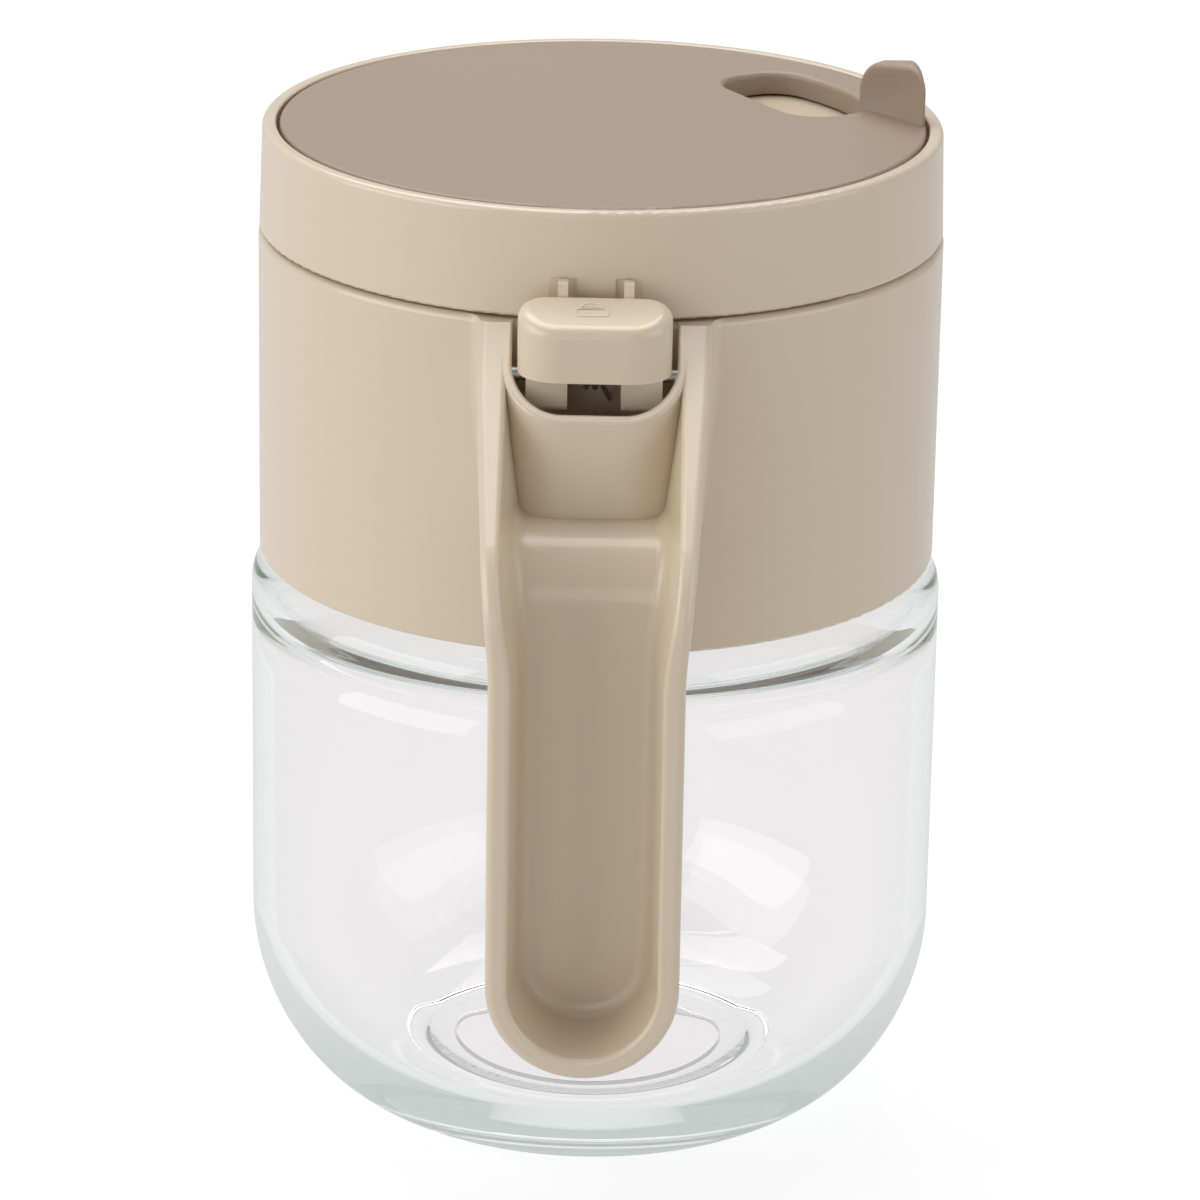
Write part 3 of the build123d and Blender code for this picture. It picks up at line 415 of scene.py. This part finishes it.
# raised outline of a padlock on the button's sloping top: a body and the shackle behind it
def makeLockSign():
    sign = {
        "middle": (-0.38, -47.1), "rearY": -43.4, "rearZ": 118.5, "slope": 15.5,
        "bodySize": (4.0, 1.8), "bodyCorner": 0.45, "shackleSize": (2.7, 1.5), "shackleCorner": 1.0,
        "cornerSteps": 6, "line": 0.3, "height": 0.12, "sink": 0.06, "edge": 0.05, "edgeSteps": 2,
        "rimAngle": 57.3, "sharpAngle": 40,
    }
    bm = bmesh.new()
    body, shackle = sign["bodySize"], sign["shackleSize"]
    # the body has all its corners rounded, the shackle only the two that are behind
    for (width, depth), corner, shift, rounded in (
        (body, sign["bodyCorner"], -body[1] / 2, 4),
        (shackle, sign["shackleCorner"], shackle[1] / 2 - sign["line"], 2),
    ):
        corners = [
            bm.verts.new((x * width / 2 * mm, (shift + y * depth / 2) * mm, 0))
            for x, y in ((1, 1), (-1, 1), (-1, -1), (1, -1))
        ]
        bm.faces.new(corners)
        bmesh.ops.bevel(
            bm, geom=corners[:rounded], offset=corner * mm, offset_type="OFFSET", affect="VERTICES",
            segments=sign["cornerSteps"], profile=0.5, material=-1
        )
        plate = max(bm.faces, key=lambda face: len(face.verts))
        bmesh.ops.inset_region(
            bm, faces=[plate], thickness=sign["line"] * mm, use_even_offset=True, use_boundary=True
        )
        bmesh.ops.delete(bm, geom=[plate], context="FACES")
    base = bm.faces[:]
    raised = bmesh.ops.extrude_face_region(bm, geom=base)["geom"]
    top = [part for part in raised if isinstance(part, bmesh.types.BMVert)]
    bmesh.ops.translate(bm, vec=(0, 0, (sign["height"] + sign["sink"]) * mm), verts=top)
    topSet = set(top)
    rimAngle = radians(sign["rimAngle"])
    rim = [
        edge for edge in bm.edges
        if set(edge.verts) <= topSet and len(edge.link_faces) == 2 and edge.calc_face_angle(0) > rimAngle
    ]
    bmesh.ops.bevel(
        bm, geom=rim, offset=sign["edge"] * mm, offset_type="OFFSET", affect="EDGES",
        segments=sign["edgeSteps"], profile=0.5, material=-1
    )
    slope = radians(sign["slope"])
    x, y = sign["middle"]
    z = sign["rearZ"] + (y - sign["rearY"]) * tan(slope)
    place = Matrix.Translation(Vector((x, y, z)) * mm) @ Matrix.Rotation(slope, 4, "X")
    bmesh.ops.translate(bm, vec=(0, 0, -sign["sink"] * mm), verts=bm.verts)
    bmesh.ops.transform(bm, matrix=place, verts=bm.verts)
    finishPiece(bm, "lockSign", shellPlastic, "button", sign["sharpAngle"])


makeLockSign()
print("lock sign raised")


# the turning disc as it is, but cut off flat under its tab
def makeDisc():
    cut = {"aboveLid": 0.02, "flatNormal": 0.9999, "sharpAngle": 12}
    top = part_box("lid_shell")[1].z + cut["aboveLid"] * mm
    bm = bmesh.new()
    bm.from_mesh(nodes["turn_disc"].data)
    bmesh.ops.remove_doubles(bm, verts=bm.verts, dist=mergeDistance)
    whole = bm.verts[:] + bm.edges[:] + bm.faces[:]
    bmesh.ops.bisect_plane(bm, geom=whole, plane_co=(0, 0, top), plane_no=(0, 0, 1), clear_outer=True)
    bmesh.ops.holes_fill(bm, edges=[edge for edge in bm.edges if edge.is_boundary], sides=0)
    disc = finishPiece(
        bm, "turnDisc", discPlastic, "disc", cut["sharpAngle"], ["turn_disc"]
    )
    # the flat top is shaded apart from its rounded edges
    bm = bmesh.new()
    bm.from_mesh(disc.data)
    for edge in bm.edges:
        flat = [face.normal.z > cut["flatNormal"] for face in edge.link_faces]
        if any(flat) and not all(flat):
            edge.smooth = False
    bm.to_mesh(disc.data)
    bm.free()


# the tab is drawn along, up and through, then stood on the disc: near and far are its ends as the camera
# sees them, its rear is shorter, and its front is hollowed within a rim
def makeDiscTab():
    tab = {
        "azimuth": 41.0, "near": -26.2, "far": -14.0, "front": 29.3, "thickness": 2.6, "height": 6.65,
        "slope": 8.5, "corner": 3.4, "cornerSteps": 10, "edge": 0.6, "edgeSteps": 4, "sink": 0.4,
        "endShift": 3.2, "rim": 0.7, "hollow": 0.3, "rimAngle": 40.1, "rimRise": 1.0, "sharpAngle": 40,
    }
    near, far = tab["near"], tab["far"]
    middle = (near + far) / 2
    slope = tan(radians(tab["slope"]))
    bm = bmesh.new()
    corners = [
        bm.verts.new((along * mm, up * mm, 0)) for along, up in (
            (near, -tab["sink"]), (far, -tab["sink"]), (far, tab["height"] - (far - middle) * slope),
            (near, tab["height"] + (middle - near) * slope),
        )
    ]
    bm.faces.new(corners)
    bmesh.ops.bevel(
        bm, geom=corners[2:], offset=tab["corner"] * mm, offset_type="OFFSET", affect="VERTICES",
        segments=tab["cornerSteps"], profile=0.5, material=-1
    )
    made = bmesh.ops.extrude_face_region(bm, geom=bm.faces[:])["geom"]
    rear = [part for part in made if isinstance(part, bmesh.types.BMVert)]
    bmesh.ops.translate(bm, vec=(0, 0, tab["thickness"] * mm), verts=rear)
    narrow = 1 - tab["endShift"] / (far - near)
    bmesh.ops.scale(bm, vec=(narrow, 1, 1), space=Matrix.Translation((-far * mm, 0, 0)), verts=rear)
    bmesh.ops.recalc_face_normals(bm, faces=bm.faces)
    # all sharp edges are rounded, but for those of the foot, which is sunk in the disc
    rims = []
    for edge in bm.edges:
        one, other = (vert.co.y for vert in edge.verts)
        stands = min(one, other) > -tab["sink"] / 2 * mm or abs(one - other) > tab["rimRise"] * mm
        if stands and edge.calc_face_angle(0) > radians(tab["rimAngle"]):
            rims.append(edge)
    bmesh.ops.bevel(
        bm, geom=rims, offset=tab["edge"] * mm, offset_type="OFFSET", affect="EDGES",
        segments=tab["edgeSteps"], profile=0.5, material=-1
    )
    bm.normal_update()
    front = min(bm.faces, key=lambda face: (round(face.normal.z, 3), -face.calc_area()))
    bmesh.ops.inset_region(
        bm, faces=[front], thickness=tab["rim"] * mm, use_even_offset=True, use_boundary=True
    )
    bmesh.ops.translate(bm, vec=(0, 0, tab["hollow"] * mm), verts=front.verts)
    turn = radians(tab["azimuth"])
    axes = Matrix(((-sin(turn), cos(turn), 0), (0, 0, 1), (cos(turn), sin(turn), 0))).transposed()
    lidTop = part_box("lid_shell")[1].z
    foot = Vector((cos(turn) * tab["front"] * mm, sin(turn) * tab["front"] * mm, lidTop))
    bmesh.ops.transform(bm, matrix=Matrix.Translation(foot) @ axes.to_4x4(), verts=bm.verts)
    finishPiece(bm, "discTab", discPlastic, "disc", tab["sharpAngle"])


makeDisc()
makeDiscTab()
print("disc and tab made")


# 1 for rays that show the room straight or through glass, part of it for light trapped in the glass,
# and 0 for the light that falls on the object
def straightView(tree):
    path = tree.nodes.new("ShaderNodeLightPath")
    glass = looks["glass"]
    straight = addMath(tree, "MAXIMUM", path.outputs["Is Camera Ray"], path.outputs["Is Transmission Ray"])
    late = addMath(tree, "GREATER_THAN", path.outputs["Glossy Depth"], glass["innerReflections"])
    trapped = addMath(tree, "MULTIPLY", late, glass["trappedLight"])
    seen = addMath(tree, "MAXIMUM", straight, trapped)
    unscattered = addMath(tree, "LESS_THAN", path.outputs["Diffuse Depth"], 0.5)
    return path, addMath(tree, "MULTIPLY", seen, unscattered)


# a floor and a room that look white to the camera and through glass, and light the object less: the
# floor by floorBounce, the room by fill, or inGloss in reflections
def makeStage():
    room = {
        "floorHalf": 3.0, "floorColour": (0.3, 0.3, 0.3, 1), "floorRoughness": 0.9, "floorSpecular": 0.0,
        "floorWhite": 0.78, "floorBounce": 0.4, "throughGlass": 1.0, "seenWhite": 1.0, "inGloss": 0.45,
        "fill": 0.14,
    }
    plane = bpy.data.meshes.new("floor")
    bm = bmesh.new()
    bmesh.ops.create_grid(bm, x_segments=1, y_segments=1, size=room["floorHalf"])
    bm.to_mesh(plane)
    bm.free()
    floor = bpy.data.objects.new("floor", plane)
    bpy.context.scene.collection.objects.link(floor)

    material, shader = newMaterial("floorPaper")
    tree = material.node_tree
    shader.inputs["Base Color"].default_value = room["floorColour"]
    shader.inputs["Roughness"].default_value = room["floorRoughness"]
    shader.inputs["Specular IOR Level"].default_value = room["floorSpecular"]
    path, view = straightView(tree)
    glow = tree.nodes.new("ShaderNodeMapRange")
    glow.inputs["To Min"].default_value = room["floorBounce"]
    glow.inputs["To Max"].default_value = room["floorWhite"]
    tree.links.new(view, glow.inputs["Value"])
    shader.inputs["Emission Color"].default_value = (1, 1, 1, 1)
    tree.links.new(glow.outputs["Result"], shader.inputs["Emission Strength"])
    through = tree.nodes.new("ShaderNodeEmission")
    through.inputs["Strength"].default_value = room["throughGlass"]
    glassView = addMath(tree, "SUBTRACT", view, path.outputs["Is Camera Ray"])
    glassView.node.use_clamp = True
    mix = tree.nodes.new("ShaderNodeMixShader")
    tree.links.new(glassView, mix.inputs["Fac"])
    tree.links.new(shader.outputs["BSDF"], mix.inputs[1])
    tree.links.new(through.outputs["Emission"], mix.inputs[2])
    tree.links.new(mix.outputs["Shader"], tree.nodes["Material Output"].inputs["Surface"])
    plane.materials.append(material)

    world = bpy.data.worlds.new("room")
    bpy.context.scene.world = world
    world.use_nodes = True
    tree = world.node_tree
    background = tree.nodes["Background"]
    background.inputs["Color"].default_value = (1, 1, 1, 1)
    path, view = straightView(tree)
    gloss = tree.nodes.new("ShaderNodeMapRange")
    gloss.inputs["To Min"].default_value = room["fill"]
    gloss.inputs["To Max"].default_value = room["inGloss"]
    tree.links.new(path.outputs["Is Glossy Ray"], gloss.inputs["Value"])
    level = tree.nodes.new("ShaderNodeMix")
    level.inputs["B"].default_value = room["seenWhite"]
    tree.links.new(view, level.inputs["Factor"])
    tree.links.new(gloss.outputs["Result"], level.inputs["A"])
    tree.links.new(level.outputs["Result"], background.inputs["Strength"])


# large soft lamps that all face the middle of the pot, in metres and watts
def lightScene():
    middle = Vector((0, 0, 0.07))
    lamps = {
        "keyLeft": {"place": (-0.95, -0.4, 0.2), "size": (1.0, 1.2), "power": 9.3},
        "sideRight": {"place": (0.95, -0.4, 0.2), "size": (1.0, 1.2), "power": 5.2},
        "front": {"place": (-0.25, -1.05, 0.15), "size": (0.6, 0.5), "power": 1.3},
        "overhead": {"place": (-0.1, 0.3, 0.9), "size": (0.9, 0.9), "power": 8.0},
    }
    for name, wanted in lamps.items():
        lamp = bpy.data.lights.new(name, "AREA")
        lamp.shape = "RECTANGLE"
        lamp.size, lamp.size_y = wanted["size"]
        lamp.energy = wanted["power"]
        holder = bpy.data.objects.new(name, lamp)
        bpy.context.scene.collection.objects.link(holder)
        holder.location = wanted["place"]
        holder.rotation_euler = (middle - Vector(wanted["place"])).to_track_quat("-Z", "Y").to_euler()


# the camera stands where the photo's perspective puts it: lengths are in millimetres, angles in degrees
def placeCamera():
    view = {
        "distance": 718.97, "elevation": 19.653, "azimuth": 0.55, "roll": 0.985, "lens": 171.336,
        "sensor": 36, "aimSide": 0.635, "aimHeight": 65.06, "nearest": 50,
    }
    tilt, turn, roll = (radians(view[key]) for key in ("elevation", "azimuth", "roll"))
    side = Vector((cos(turn), sin(turn), 0))
    back = Vector((sin(turn) * cos(tilt), -cos(turn) * cos(tilt), sin(tilt)))
    up = back.cross(side)
    aim = side * view["aimSide"] * mm + Vector((0, 0, view["aimHeight"] * mm))
    camera = bpy.data.cameras.new("camera")
    camera.lens = view["lens"]
    camera.sensor_width = view["sensor"]
    camera.clip_start = view["nearest"] * mm
    holder = bpy.data.objects.new("camera", camera)
    bpy.context.scene.collection.objects.link(holder)
    axes = Matrix((side * cos(roll) + up * sin(roll), up * cos(roll) - side * sin(roll), back)).transposed()
    holder.matrix_world = Matrix.Translation(aim + back * view["distance"] * mm) @ axes.to_4x4()
    bpy.context.scene.camera = holder


makeStage()
lightScene()
placeCamera()
bpy.context.scene.view_settings.view_transform = "Standard"
print("stage, lamps and camera set")
